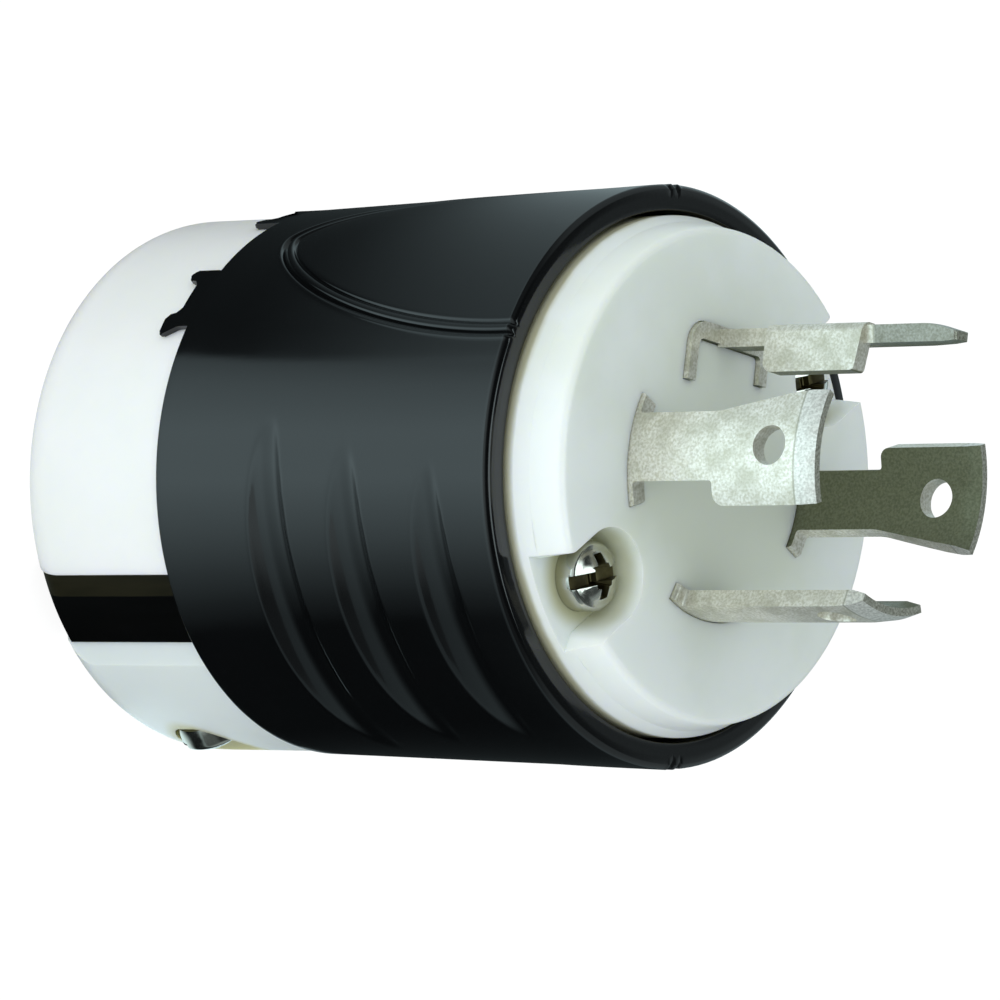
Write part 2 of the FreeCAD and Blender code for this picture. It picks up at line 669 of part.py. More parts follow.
def assembly_screw(side):
    """A tall cheese-head screw through the face body and the wire guide."""
    top = POCKET_Z + SCREW_HEAD_T
    body = turned([(0, top, 0), (SCREW_HEAD_R, top, SCREW_HEAD_ROUND), (SCREW_HEAD_R, POCKET_Z, 0),
                   (SCREW_SHANK_R, POCKET_Z, 0), (SCREW_SHANK_R, GUIDE_Z - SCREW_END, 0.5),
                   (0, GUIDE_Z - SCREW_END, 0)])
    screw = carved(body, combination_drive(SCREW_HEAD_R, top))
    screw.rotate(ORIGIN, Z_AXIS, ASSEMBLY_DRIVE_ANGLE)
    screw.translate(Vector(side * SCREW_PITCH_R, 0, 0))
    return screw


def threaded_insert(side):
    """A brass insert moulded in a post of the core."""
    tube = ring(NUT_R, SCREW_SHANK_R + THREAD_CLEARANCE, GUIDE_Z - NUT_LENGTH, GUIDE_Z)
    tube.translate(Vector(side * SCREW_PITCH_R, 0, 0))
    return tube


# Cord end

def rear_form(radius, low, fillet):
    """A turned block up to the collar, with the rear edge rounded."""
    return turned([(0, low, 0), (radius, low, fillet), (radius, REAR_LENGTH, 0), (0, REAR_LENGTH, 0)])


def grommet_groove():
    """The groove that holds the grommet, in the core and both halves."""
    gap = GROMMET_CLEARANCE
    return rod(GROMMET_R + gap, GROMMET_Z - gap, GROMMET_Z + GROMMET_T + gap)


def clamp_holes(start, end):
    """Clearance holes of the two clamp screws along Y."""
    return both_sides(cross_rod(CLAMP_SHANK_R + CLAMP_HOLE_CLEARANCE, start, end, CLAMP_X, CLAMP_Z))


def flat_band():
    """The cutter of the core's flat band on +X."""
    x = math.sqrt(CORE_R ** 2 - BAND_LEFT_Y ** 2)
    corners = [(x - BAND_LEFT_CUT, BAND_LEFT_Y, 0), (x + CUT, BAND_LEFT_Y, 0), (x + CUT, CORE_RIGHT_Y - CUT, 0),
               (x - BAND_RIGHT_CUT, CORE_RIGHT_Y - CUT, 0)]
    return raised(corners, 0, REAR_LENGTH)


def cord_core():
    """The black core between the clamp halves, with its floor, spigot and screw posts."""
    spigot_r = BORE_R - SPIGOT_CLEARANCE
    reach = CORE_R + CUT
    slab = rear_form(CORE_R, CORE_INSET, CORE_ROUND).common(
        box(-reach, reach, CORE_RIGHT_Y, CORE_LEFT_Y, 0, REAR_LENGTH)).cut(both_sides(flat_band()))
    shapes = [slab, rod(spigot_r, REAR_LENGTH, REAR_LENGTH + CORE_FLOOR_T),
              ring(spigot_r, spigot_r - SPIGOT_WALL, REAR_LENGTH, REAR_LENGTH + SPIGOT_LENGTH)]
    shapes += both_sides(rod(POST_R, REAR_LENGTH, GUIDE_Z, SCREW_PITCH_R))
    cutters = [rod(CORD_R, -CUT, REAR_LENGTH + CORE_FLOOR_T + CUT), grommet_groove()]
    cutters += clamp_holes(CORE_RIGHT_Y - CUT, CORE_LEFT_Y + CUT)
    cutters += both_sides(rod(NUT_R, GUIDE_Z - NUT_LENGTH, GUIDE_Z + CUT, SCREW_PITCH_R))
    return carved(joined(shapes), cutters)


def cord_grommet():
    """The rubber ring round the cord."""
    return ring(GROMMET_R, GROMMET_HOLE_R, GROMMET_Z, GROMMET_Z + GROMMET_T)


def gripping_teeth():
    """Ridges round the cord, to be cut to each half."""
    reach = CORD_R + TOOTH_HEIGHT / 2
    width = TOOTH_PITCH * 0.4
    ridges = []
    for index in range(TOOTH_COUNT):
        z = TOOTH_START + TOOTH_PITCH * index
        ridges.append(turned([(reach, z - width, 0), (reach, z + width, 0), (CORD_R - TOOTH_HEIGHT, z, 0.2)]))
    return ridges


def cored_pockets():
    """Pockets that keep the half's walls even, in the resting face on +Y."""
    annulus = ring(CORED_OUTER_R, CORED_INNER_R, -CUT, CORED_DEPTH)
    pitch = CORED_WIDTH + CORED_RIB
    half, reach = CORED_WIDTH / 2, CORED_OUTER_R + CUT
    cells = [box(x - half, x + half, 0, reach, -2 * CUT, CORED_DEPTH + CUT) for x in (-pitch, 0, pitch)]
    return annulus.common(Part.makeCompound(cells))


def clamp_half(skin, space, pockets):
    """What the two halves share: the skin inside a space, less the cord way, plus teeth."""
    body = skin.common(space)
    teeth = [ridge.common(space) for ridge in gripping_teeth()]
    hollow = carved(body, [rod(CORD_R, -CUT, REAR_LENGTH + CUT), grommet_groove(), pockets])
    return joined([hollow] + teeth)


def clamp_half_fixed():
    """The white half on +Y, with slots that take the clamp nuts from above."""
    reach = HALF_R + CUT
    space = box(-reach, reach, CORE_LEFT_Y, reach, 0, REAR_LENGTH)
    half = clamp_half(rear_form(HALF_R, 0, HALF_ROUND), space, cored_pockets())
    gap = CLAMP_NUT_CLEARANCE
    side = CLAMP_NUT_SIZE / 2 + gap
    slot = box(CLAMP_X - side, CLAMP_X + side, CLAMP_NUT_Y - gap, CLAMP_NUT_Y + CLAMP_NUT_T + gap,
               CLAMP_Z - side, REAR_LENGTH + CUT)
    return carved(half, clamp_holes(CORE_LEFT_Y - CUT, CLAMP_END_Y + CUT) + both_sides(slot))


def edge_bevel():
    """The cutter that bevels the moving half's upper edge on +X."""
    x = math.sqrt(HALF_R ** 2 - (CORE_RIGHT_Y + MOVING_SHIFT) ** 2)
    slope = EDGE_CUT_Y / EDGE_CUT_X
    corners = [(x - EDGE_CUT_X, CORE_RIGHT_Y, 0), (x + CUT, CORE_RIGHT_Y - slope * (EDGE_CUT_X + CUT), 0),
               (x + 3 * CUT, CORE_RIGHT_Y, 0)]
    return raised(corners, -CUT, REAR_LENGTH + CUT)


def clamp_half_moving():
    """The white half on -Y, with a pocket for each clamp screw's head."""
    reach = HALF_R + CUT
    skin = rear_form(HALF_R, 0, HALF_ROUND)
    skin.translate(Vector(0, -MOVING_SHIFT, 0))
    space = box(-reach, reach, -reach, CORE_RIGHT_Y, 0, REAR_LENGTH)
    half = clamp_half(skin, space, spun(cored_pockets(), 180))
    seat = CLAMP_HEAD_Y + CLAMP_HEAD_T
    head_pocket = cross_rod(CLAMP_HEAD_R + CLAMP_POCKET_CLEARANCE, -reach - CUT, seat, CLAMP_X, CLAMP_Z)
    cutters = clamp_holes(seat - CUT, CORE_RIGHT_Y + CUT)
    return carved(half, cutters + both_sides(head_pocket) + both_sides(edge_bevel()))


def clamp_screw(side):
    """A pan-head screw through the moving half and the core, into the nut of the fixed half."""
    length = CLAMP_END_Y - CLAMP_HEAD_Y
    body = turned([(0, 0, 0), (CLAMP_HEAD_R, 0, CLAMP_HEAD_ROUND), (CLAMP_HEAD_R, CLAMP_HEAD_T, 0),
                   (CLAMP_SHANK_R, CLAMP_HEAD_T, 0), (CLAMP_SHANK_R, length, 0.5), (0, length, 0)])
    drive = Part.makeCompound(combination_drive(CLAMP_HEAD_R, 0))
    drive.rotate(ORIGIN, X_AXIS, 180)
    screw = carved(body, [drive])
    screw.rotate(ORIGIN, X_AXIS, -90)
    screw.translate(Vector(side * CLAMP_X, CLAMP_HEAD_Y, CLAMP_Z))
    return screw


def clamp_nut(side):
    """A square nut in its slot."""
    half = CLAMP_NUT_SIZE / 2
    far = CLAMP_NUT_Y + CLAMP_NUT_T
    block = box(-half, half, CLAMP_NUT_Y, far, CLAMP_Z - half, CLAMP_Z + half)
    nut = block.cut(cross_rod(CLAMP_SHANK_R + THREAD_CLEARANCE, CLAMP_NUT_Y - CUT, far + CUT, 0, CLAMP_Z))
    nut.translate(Vector(side * CLAMP_X, 0, 0))
    return nut


def pair(make):
    """A fastener on each side of the YZ plane, as separate solids."""
    return Part.makeCompound([make(-1), make(1)])


def all_nodes():
    """Every sub-part by its node's name."""
    return {
        "collar": collar(),
        "face_insert": face_insert(),
        "blade_ground": ground_blade(),
        "blade_line_x": line_blade(1),
        "blade_line_y": line_blade(3),
        "blade_neutral": neutral_blade(),
        "pressure_plate_ground": pressure_plate(0),
        "pressure_plate_x": pressure_plate(1),
        "pressure_plate_neutral": pressure_plate(2),
        "pressure_plate_y": pressure_plate(3),
        "terminal_screw_ground": terminal_screw(0),
        "terminal_screws_line": Part.makeCompound([terminal_screw(1), terminal_screw(3)]),
        "terminal_screw_neutral": terminal_screw(2),
        "wire_guide": wire_guide(),
        "assembly_screws": pair(assembly_screw),
        "assembly_nuts": pair(threaded_insert),
        "cord_core": cord_core(),
        "cord_grommet": cord_grommet(),
        "clamp_half_fixed": clamp_half_fixed(),
        "clamp_half_moving": clamp_half_moving(),
        "clamp_screws": pair(clamp_screw),
        "clamp_nuts": pair(clamp_nut),
    }


os.makedirs("parts", exist_ok=True)
for name, shape in all_nodes().items():
    shape.exportStep("parts/" + name + ".step")
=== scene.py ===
"""Looks of the locking power plug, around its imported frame. Metres, +Z along the plug's axis."""

import json
import math
from collections import namedtuple

import bmesh
import bpy
import numpy as np
from mathutils import Matrix, Vector

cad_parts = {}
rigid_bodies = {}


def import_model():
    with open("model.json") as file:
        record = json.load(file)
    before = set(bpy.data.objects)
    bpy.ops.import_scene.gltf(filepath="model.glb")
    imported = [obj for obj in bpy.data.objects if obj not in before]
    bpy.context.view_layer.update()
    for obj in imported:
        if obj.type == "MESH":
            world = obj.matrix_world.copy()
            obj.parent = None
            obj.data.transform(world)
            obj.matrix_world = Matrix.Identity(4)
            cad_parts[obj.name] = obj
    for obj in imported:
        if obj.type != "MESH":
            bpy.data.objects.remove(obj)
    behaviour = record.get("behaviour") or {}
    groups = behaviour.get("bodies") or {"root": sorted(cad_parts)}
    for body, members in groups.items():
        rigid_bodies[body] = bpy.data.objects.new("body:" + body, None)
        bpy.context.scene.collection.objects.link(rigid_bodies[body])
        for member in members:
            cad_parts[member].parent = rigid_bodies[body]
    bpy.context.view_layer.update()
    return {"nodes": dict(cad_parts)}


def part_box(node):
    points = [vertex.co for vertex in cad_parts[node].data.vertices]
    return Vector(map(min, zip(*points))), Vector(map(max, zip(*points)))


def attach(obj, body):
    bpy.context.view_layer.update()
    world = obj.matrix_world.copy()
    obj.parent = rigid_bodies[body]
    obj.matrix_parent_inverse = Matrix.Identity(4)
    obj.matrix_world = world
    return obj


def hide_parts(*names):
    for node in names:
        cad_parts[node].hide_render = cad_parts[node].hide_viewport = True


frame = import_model()

MM = 0.001

# Collar in millimetres, as in the frame
LAND_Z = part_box("collar")[1][2] / MM
REAR_Z = LAND_Z - 39.9
LEDGE_Z = LAND_Z - 14.0             # seat of the face body
REAR_R = 25.2
FRONT_R = 26.1
MOUTH_R = 23.75
BORE_R = 22.6
RIM_ROUND = 0.45
RIM_POWER = 1.6                     # 1 rounds the rim, 2 chamfers it
REAR_ROUND = 0.3
MOUTH_ROUND = 0.15
QUARTER = math.pi / 4               # a patch of the skin reaches this far each side of its middle
FINE_ROWS = (3.5, 31)               # the skin's grid is finer between these distances behind the land
COLLAR_SHARP = 40                   # degrees from which an edge stays sharp

# Thumb panels: a superellipse across and along the skin
PANEL_HALF_WIDTH = 13.8
PANEL_LENGTH = 33.9
PANEL_WIDTH_POWER = 1.6
PANEL_LENGTH_POWER = 1.8

# The outline's bead, lip and two creases as bell curves: (height, distance outside the outline, width)
OUTLINE_BELLS = ((0.06, 0, 0.3), (0.07, 0.95, 0.2), (-0.28, -0.55, 0.17), (-0.42, 0.5, 0.2))

# Rows of the panel's grid: shares within the first row, distances outside the outline, shares out to the edge
PANEL_INNER = np.linspace(0, 1, 12)[:-1]
PANEL_OFFSETS = np.concatenate([[-1.6, -1.2, -0.95], np.linspace(-0.8, 1.2, 27), [1.4, 1.7, 2.1, 2.6]])
PANEL_OUTER = np.linspace(0, 1, 12)[1:]
PANEL_CLEAR = 0.35                  # a row keeps this share of the outline's distance from the middle

# Finger grooves: (behind the land, width, depth, degrees each side)
GROOVES = ((26.6, 5.3, 1.1, 42.5), (17.2, 5.1, 0.95, 36.0), (7.4, 4.8, 0.8, 32.5))
GROOVE_BACK_SHARE = 0.62            # of a groove's width lies behind its deepest line
GROOVE_FADE = math.radians(6)
GROOVE_SOFT = 0.035                 # softness of a groove's edges, halfway between behind and in front
GROOVE_SOFT_CHANGE = 0.01           # so much softer behind, and crisper in front
GROOVE_SOFT_REACH = 0.8

# Hooked lugs on the rear edge, either side of +Y
LUG_TOOTH_ANGLE = 11.8              # degrees from Y
LUG_HOOK_ANGLE = 24.7
LUG_ROOT = 0.5                      # inside the rear edge
LUG_HEIGHT = 1.5
LUG_TIP = 3.0
LUG_HALF = 0.65                     # half the tooth's width
LUG_INNER_R = 24.65
LUG_EDGE = 0.12

# Screws in millimetres; the drive's angle is in degrees
SCREW_DOME = 1.0
SCREW_EDGE = 0.5
SCREW_SHARP = 35
THREAD_PITCH = 0.7
THREAD_DEPTH = 0.35
THREAD_ROWS = 6                     # rows of the grid in one pitch
ASSEMBLY_SCREW = {"head_r": 3.1, "head_t": 3.2, "shank_r": 1.75, "length": 37.4, "drive": -18, "proud": 0.4}
CLAMP_SCREW = {"head_r": 3.2, "head_t": 3.2, "shank_r": 2.0, "length": 31.0, "drive": 30, "proud": 0.9}

# The drive's cutters: half length and half width at the top, depth, and the same halves at the floor
SLOT_HALF_WIDTH = 0.6
SLOT_DEPTH = 1.7
CROSS_ARM = (0.6, 2.75, 2.4, 0.4, 1.0)
CROSS_MIDDLE = (1.2, 1.2, 2.2, 0.6, 0.6)
CUTTER_TOP = 0.6
DRIVE_BEVEL = 0.16
RECESS_BELOW = 0.15                 # faces so far below the dome, inside the head's edge, are the recess's
RECESS_FLOOR = 2.6
RECESS_EDGE = 0.1

TINY_EDGE = 0.001                   # edges shorter than this are dropped
NOISE_SPAN = (0.3, 0.7)             # most of a noise's values lie in here

# Heights in metres between which the painted olive shade round the screws fades out, and the painted shade of
# the blades' end faces comes in
OLIVE_TOP = (62.5 * MM, 64 * MM)
BLADE_ENDS = (83.4 * MM, 83.7 * MM)

# Camera at the photograph's viewing angle
CAMERA_PLACE = (-0.44937, 0.25080, 0.47271)
CAMERA_TURN = (0.8936, -49.8379, -30.5447)       # degrees
CAMERA_LENS = 266.5

# What the plug's upright walls mirror: (azimuth in degrees, radiance) round the axis
MIRROR_ROUND = ((-40, 0.26), (97, 0.26), (107, 0.33), (110, 0.68), (118, 1.03), (134, 1.50),
                (150, 1.50), (165, 1.00), (180, 0.45), (190, 0.18), (200, 0.02), (250, 0.01), (318, 0.04))
MIRROR_STEP = (107.5, 110.5)        # degrees between which the card's dim near part ends
MIRROR_TINT = (0.74, 0.95, 1.0)
ROOM_TINT = (0.82, 0.97, 1.0)
LIT_SIDE = (-0.8, 0.6, 0)           # the room is brighter on this side


def radians(angles):
    """Degrees as radians."""
    return [math.radians(angle) for angle in angles]


def add_camera():
    """The photograph's long lens, looking down on the blades."""
    data = bpy.data.cameras.new("camera")
    data.lens = CAMERA_LENS
    data.sensor_width = 36
    data.clip_end = 20
    camera = bpy.data.objects.new("camera", data)
    camera.location = CAMERA_PLACE
    camera.rotation_euler = radians(CAMERA_TURN)
    bpy.context.scene.collection.objects.link(camera)
    bpy.context.scene.camera = camera


class Shader:
    """A node tree with short ways to add nodes and join them."""

    def __init__(self, tree):
        self.tree = tree

    def plug(self, node, socket, value):
        """Sets an input to a number, vector or colour, or joins an output to it."""
        target = node.inputs[socket]
        if isinstance(value, bpy.types.NodeSocket):
            self.tree.links.new(value, target)
        elif target.type == "RGBA":
            target.default_value = (*value, 1)
        else:
            target.default_value = value

    def add(self, kind, inputs=None, **settings):
        """A new node with its settings and inputs."""
        node = self.tree.nodes.new("ShaderNode" + kind)
        for key, value in settings.items():
            setattr(node, key, value)
        for socket, value in (inputs or {}).items():
            self.plug(node, socket, value)
        return node

    def math(self, operation, a, b=0.0):
        return self.add("Math", {0: a, 1: b}, operation=operation).outputs[0]

    def length(self, vector):
        return self.add("VectorMath", {0: vector}, operation="LENGTH").outputs["Value"]

    def dot(self, a, b):
        return self.add("VectorMath", {0: a, 1: b}, operation="DOT_PRODUCT").outputs["Value"]

    def parts(self, vector):
        """A vector's X, Y and Z."""
        return self.add("SeparateXYZ", {0: vector}).outputs

    def place(self):
        """The place on the object, in metres."""
        return self.add("TexCoord").outputs["Object"]

    def normal(self):
        """The face's own normal, without bumps."""
        return self.add("NewGeometry").outputs["Normal"]

    def spread(self, value, low, high, to_low, to_high):
        """A value moved from one range to another, smoothly and clamped."""
        node = self.add("MapRange", {"Value": value, "From Min": low, "From Max": high,
                                     "To Min": to_low, "To Max": to_high}, interpolation_type="SMOOTHSTEP")
        return node.outputs["Result"]

    def noise(self, scale, detail=2.0, stretch=(1, 1, 1)):
        """Noise in object space, in cycles per metre."""
        mapped = self.add("Mapping", {"Vector": self.place(), "Scale": stretch}).outputs[0]
        return self.add("TexNoise", {"Vector": mapped, "Scale": scale, "Detail": detail}).outputs[0]

    def blend(self, factor, a, b):
        """A colour between two colours."""
        node = self.add("Mix", data_type="RGBA")
        for socket, value in ((0, factor), (6, a), (7, b)):
            self.plug(node, socket, value)
        return node.outputs[2]

    def bump(self, height, depth):
        """A bump of a depth in metres."""
        return self.add("Bump", {"Height": height, "Distance": depth}).outputs[0]


def new_material(name):
    """A material, its Principled shader and its tree."""
    material = bpy.data.materials.new(name)
    material.use_nodes = True
    return material, material.node_tree.nodes["Principled BSDF"], Shader(material.node_tree)


def assign(material, *names):
    """Gives CAD nodes one material."""
    for name in names:
        mesh = frame["nodes"][name].data
        mesh.materials.clear()
        mesh.materials.append(material)


def skin_radius(z):
    """The collar's outer radius at a height."""
    return REAR_R + (FRONT_R - REAR_R) * (z - REAR_Z) / (LAND_Z - REAR_Z)


def bell(distance, middle, width):
    """A bell curve."""
    return np.exp(-((distance - middle) / width) ** 2)


def outline_height(distance):
    """Height across the thumb panel's outline: a round bead between two creases, and a lip outside."""
    return sum(height * bell(distance, middle, width) for height, middle, width in OUTLINE_BELLS)


def smooth_step(value):
    """0 to 1 with soft ends."""
    share = np.clip(value, 0, 1)
    return share * share * (3 - 2 * share)


def groove_height(angle, z):
    """Height of the finger grooves: parts of three rings, their edges softer behind than in front."""
    skin = skin_radius(z)
    height = np.zeros(np.broadcast(angle, z).shape)
    for behind, width, depth, span in GROOVES:
        deepest = LAND_Z - behind + (GROOVE_BACK_SHARE - 0.5) * width
        middle = skin_radius(deepest)
        fade = middle * (1 - math.cos(math.radians(span)))
        shift = (2 * middle * depth - depth ** 2) / (2 * (fade - depth))
        section = (width ** 2 / 4 + depth ** 2) / (2 * depth)
        share = np.where(z > deepest, 1 - GROOVE_BACK_SHARE, GROOVE_BACK_SHARE)
        offset = (z - deepest) / (2 * share)
        reach = middle - depth + shift + section - np.sqrt(np.maximum(section ** 2 - offset ** 2, 0))
        radius = np.sqrt(np.maximum(reach ** 2 - (shift * np.sin(angle)) ** 2, 0)) - shift * np.cos(angle)
        soft = GROOVE_SOFT - GROOVE_SOFT_CHANGE * np.tanh(offset / GROOVE_SOFT_REACH)
        height -= soft * np.logaddexp(0, np.clip((skin - radius) / soft, -60, 60))
    return height * smooth_step((QUARTER - np.abs(angle)) / GROOVE_FADE)


def polar(radius, angle, z):
    """Points at a radius, an angle and a height."""
    radius, angle, z = np.broadcast_arrays(radius, angle, z)
    return np.stack([radius * np.cos(angle), radius * np.sin(angle), z], -1)


def skin_lines():
    """Heights of the skin's grid lines, from the front edge to the rear edge."""
    front, rear = LAND_Z - RIM_ROUND, REAR_Z + REAR_ROUND
    top, bottom = LAND_Z - FINE_ROWS[0], LAND_Z - FINE_ROWS[1]
    return np.concatenate([np.linspace(front, top, 10)[:-1], np.linspace(top, bottom, 104)[:-1],
                           np.linspace(bottom, rear, 16)])


def panel_curve(turn):
    """The panel's outline, as distances round and behind the land."""
    across = np.sign(np.cos(turn)) * np.abs(np.cos(turn)) ** (2 / PANEL_WIDTH_POWER)
    behind = np.abs(np.sin(turn)) ** (2 / PANEL_LENGTH_POWER)
    return np.stack([PANEL_HALF_WIDTH * across, PANEL_LENGTH * behind], -1)


def panel_normals(turn):
    """Outward directions of the panel's outline."""
    step = 0.03
    tangent = panel_curve(np.minimum(turn + step, math.pi)) - panel_curve(np.maximum(turn - step, 0))
    normal = np.stack([tangent[:, 1], -tangent[:, 0]], -1)
    normal /= np.linalg.norm(normal, axis=1)[:, None]
    normal[0], normal[-1] = (1, 0), (-1, 0)
    return normal


# A quarter of the collar's skin, with the angles of its front and rear edges and the heights of the front one
Quarter = namedtuple("Quarter", "middle points front rear front_height")


def panel_rows(turn):
    """The rows of the panel's grid, as distances round and behind the land."""
    curve, normal = panel_curve(turn), panel_normals(turn)
    rows = [curve + distance * normal for distance in PANEL_OFFSETS]
    side, limit = np.sign(curve[:, 0]), PANEL_CLEAR * np.abs(curve[:, 0])
    for row in rows:
        row[:, 0] = side * np.maximum(side * row[:, 0], limit)
    return np.array([rows[0] * factor for factor in PANEL_INNER] + rows)


def panel_turns(lines):
    """Turns of the outline's points beside the patch's straight sides, and over its rear edge."""
    share = (lines[0] - lines) / (lines[0] - lines[-1])
    corner = panel_curve(np.array([QUARTER]))[0][1] / PANEL_LENGTH
    side = np.arcsin(np.clip((share * corner) ** (PANEL_LENGTH_POWER / 2), 0, 1))
    edge_count = 2 * (len(PANEL_INNER) + len(PANEL_OFFSETS) + len(PANEL_OUTER)) - 1
    return side, np.linspace(QUARTER, 3 * QUARTER, edge_count)[1:-1]


def panel_quarter(middle):
    """The quarter round a thumb panel, its grid along the panel's outline."""
    lines = skin_lines()
    front, rear = lines[0], lines[-1]
    side, floor = panel_turns(lines)
    straight = np.full(len(lines), QUARTER)
    edge_angle = np.concatenate([straight, 2 * QUARTER - floor, -straight])
    edge_z = np.concatenate([lines, np.full(len(floor), rear), lines[::-1]])
    rows = panel_rows(np.concatenate([side, floor, math.pi - side[::-1]]))
    z = front - np.maximum(rows[:, :, 1], 0) * (front - rear) / (LAND_Z - rear)
    angle = rows[:, :, 0] / skin_radius(z)
    distances = np.concatenate([np.full(len(PANEL_INNER), PANEL_OFFSETS[0]), PANEL_OFFSETS])
    height = outline_height(distances)[:, None] + 0 * z
    blend = PANEL_OUTER[:, None]
    angle = np.concatenate([angle, angle[-1] + (edge_angle - angle[-1]) * blend])
    height = np.concatenate([height, np.zeros((len(PANEL_OUTER), len(edge_z)))])
    z = np.concatenate([z, z[-1] + (edge_z - z[-1]) * blend])
    front_angle = np.concatenate([angle[::-1, -1], angle[1:, 0]])
    front_height = np.concatenate([height[::-1, -1], height[1:, 0]])
    rear_angle = angle[-1][len(lines) - 1:len(lines) + len(floor) + 1][::-1]
    points = polar(skin_radius(z) + height, middle + angle, z)
    return Quarter(middle, points, front_angle, rear_angle, front_height)


def finger_quarter(middle):
    """The quarter with the finger grooves."""
    z = skin_lines()[:, None]
    angle = np.linspace(-QUARTER, QUARTER, 101)
    height = groove_height(angle[None, :], z)
    points = polar(skin_radius(z) + height, middle + angle, z)
    return Quarter(middle, points, angle, angle, height[0])


def collar_rims(quarter):
    """The rows from the skin's front edge over the land and through the bore to its rear edge."""
    front, rear = LAND_Z - RIM_ROUND, REAR_Z + REAR_ROUND
    skin = skin_radius(front) + quarter.front_height
    rows = []

    def add(radius, z, angle=quarter.front):
        rows.append(polar(radius, quarter.middle + angle, np.full(len(angle), z)))

    for turn in np.linspace(0, math.pi / 2, 9):
        inward = RIM_ROUND * (1 - math.cos(turn) ** RIM_POWER)
        add(skin - inward, front + RIM_ROUND * math.sin(turn) ** RIM_POWER)
    mouth = MOUTH_R + MOUTH_ROUND
    for share in (0.4, 0.8, 1.0):
        add((skin - RIM_ROUND) * (1 - share) + mouth * share, LAND_Z)
    for turn in np.linspace(0, math.pi / 2, 4)[1:]:
        add(mouth - MOUTH_ROUND * math.sin(turn), LAND_Z - MOUTH_ROUND * (1 - math.cos(turn)))
    add(MOUTH_R, LEDGE_Z)
    for share in (0.0, 0.5, 1.0):
        angle = quarter.front + (quarter.rear - quarter.front) * share
        add(BORE_R, LEDGE_Z + (REAR_Z - LEDGE_Z) * share, angle)
    foot = skin_radius(rear)
    for turn in np.linspace(math.pi / 2, 0, 5):
        add(foot - REAR_ROUND * (1 - math.cos(turn)), rear - REAR_ROUND * math.sin(turn), quarter.rear)
    return np.array(rows)


def rounded_outline(corners, steps=5):
    """Points of a closed outline through (u, v, radius) corners."""
    points = []
    for index, (u, v, radius) in enumerate(corners):
        corner = np.array((u, v))
        before = np.array(corners[index - 1][:2]) - corner
        after = np.array(corners[(index + 1) % len(corners)][:2]) - corner
        before /= np.linalg.norm(before)
        after /= np.linalg.norm(after)
        for share in np.linspace(0, 1, steps) if radius else (0.5,):
            points.append(corner + before * radius * (1 - share) ** 2 + after * radius * share ** 2)
    return np.array(points)


def filled_in(points, pitch):
    """A closed outline with points at most a pitch apart."""
    result = []
    for start, end in zip(points, np.roll(points, -1, axis=0)):
        count = max(1, math.ceil(np.linalg.norm(end - start) / pitch))
        result += [start + (end - start) * i / count for i in range(count)]
    return np.array(result)


def lug_blocks(form, side):
    """Adds one lug to a mesh: a web with a tooth and an outward hook, on a side of +Y."""
    web, tip, root = REAR_Z - LUG_HEIGHT, REAR_Z - LUG_TIP, REAR_Z + LUG_ROOT
    tooth = math.radians(LUG_TOOTH_ANGLE) * REAR_R
    hook = math.radians(LUG_HOOK_ANGLE) * REAR_R
    half = LUG_HALF
    corners = [(tooth - half, root, 0), (tooth - half, tip, 0.55), (tooth + half, tip, 0.55),
               (tooth + half * 1.4, web, 0.4), (hook - half * 1.6, web, 0.5), (hook - half, tip, 0.4),
               (hook + half + 1.0, tip, 0.5), (hook + half, web + 0.45, 0.3), (hook + half, root, 0)]
    outline = filled_in(rounded_outline(corners), 0.6)
    angle = math.pi / 2 + side * outline[:, 0] / REAR_R
    shells = []
    for radius in (LUG_INNER_R, REAR_R):
        points = polar(radius, angle, outline[:, 1]) * MM
        shells.append([form.verts.new(point) for point in points.tolist()])
    inner, outer = shells
    count = len(inner)
    faces = [form.faces.new(outer), form.faces.new(inner[::-1])]
    for index in range(count):
        after = (index + 1) % count
        faces.append(form.faces.new([inner[index], inner[after], outer[after], outer[index]]))
    edges = [edge for face in faces[:2] for edge in face.edges]
    bmesh.ops.bevel(form, geom=edges, offset=LUG_EDGE * MM, segments=2, affect="EDGES", clamp_overlap=True)


def grid_mesh(name, grids):
    """A mesh of grids of points in millimetres, not yet joined where they meet."""
    points = np.concatenate([grid.reshape(-1, 3) for grid in grids])
    faces = []
    start = 0
    for grid in grids:
        rows, columns = grid.shape[:2]
        index = start + np.arange(rows * columns).reshape(rows, columns)
        corners = (index[:-1, :-1], index[:-1, 1:], index[1:, 1:], index[1:, :-1])
        faces.append(np.stack(corners, -1).reshape(-1, 4))
        start += rows * columns
    mesh = bpy.data.meshes.new(name)
    mesh.from_pydata((points * MM).tolist(), [], np.concatenate(faces).tolist())
    return mesh


def clean(form, gap):
    """Joins points closer than a gap, drops faces of no size and turns every face outward."""
    bmesh.ops.remove_doubles(form, verts=form.verts, dist=gap * MM)
    bmesh.ops.dissolve_degenerate(form, edges=form.edges, dist=TINY_EDGE * MM)
    bmesh.ops.recalc_face_normals(form, faces=form.faces)


def add_object(name, mesh, sharp_angle, *materials):
    """An object of a mesh, smooth but for edges sharper than an angle in degrees."""
    mesh.shade_smooth()
    mesh.set_sharp_from_angle(angle=math.radians(sharp_angle))
    for material in materials:
        mesh.materials.append(material)
    item = bpy.data.objects.new(name, mesh)
    bpy.context.scene.collection.objects.link(item)
    return item


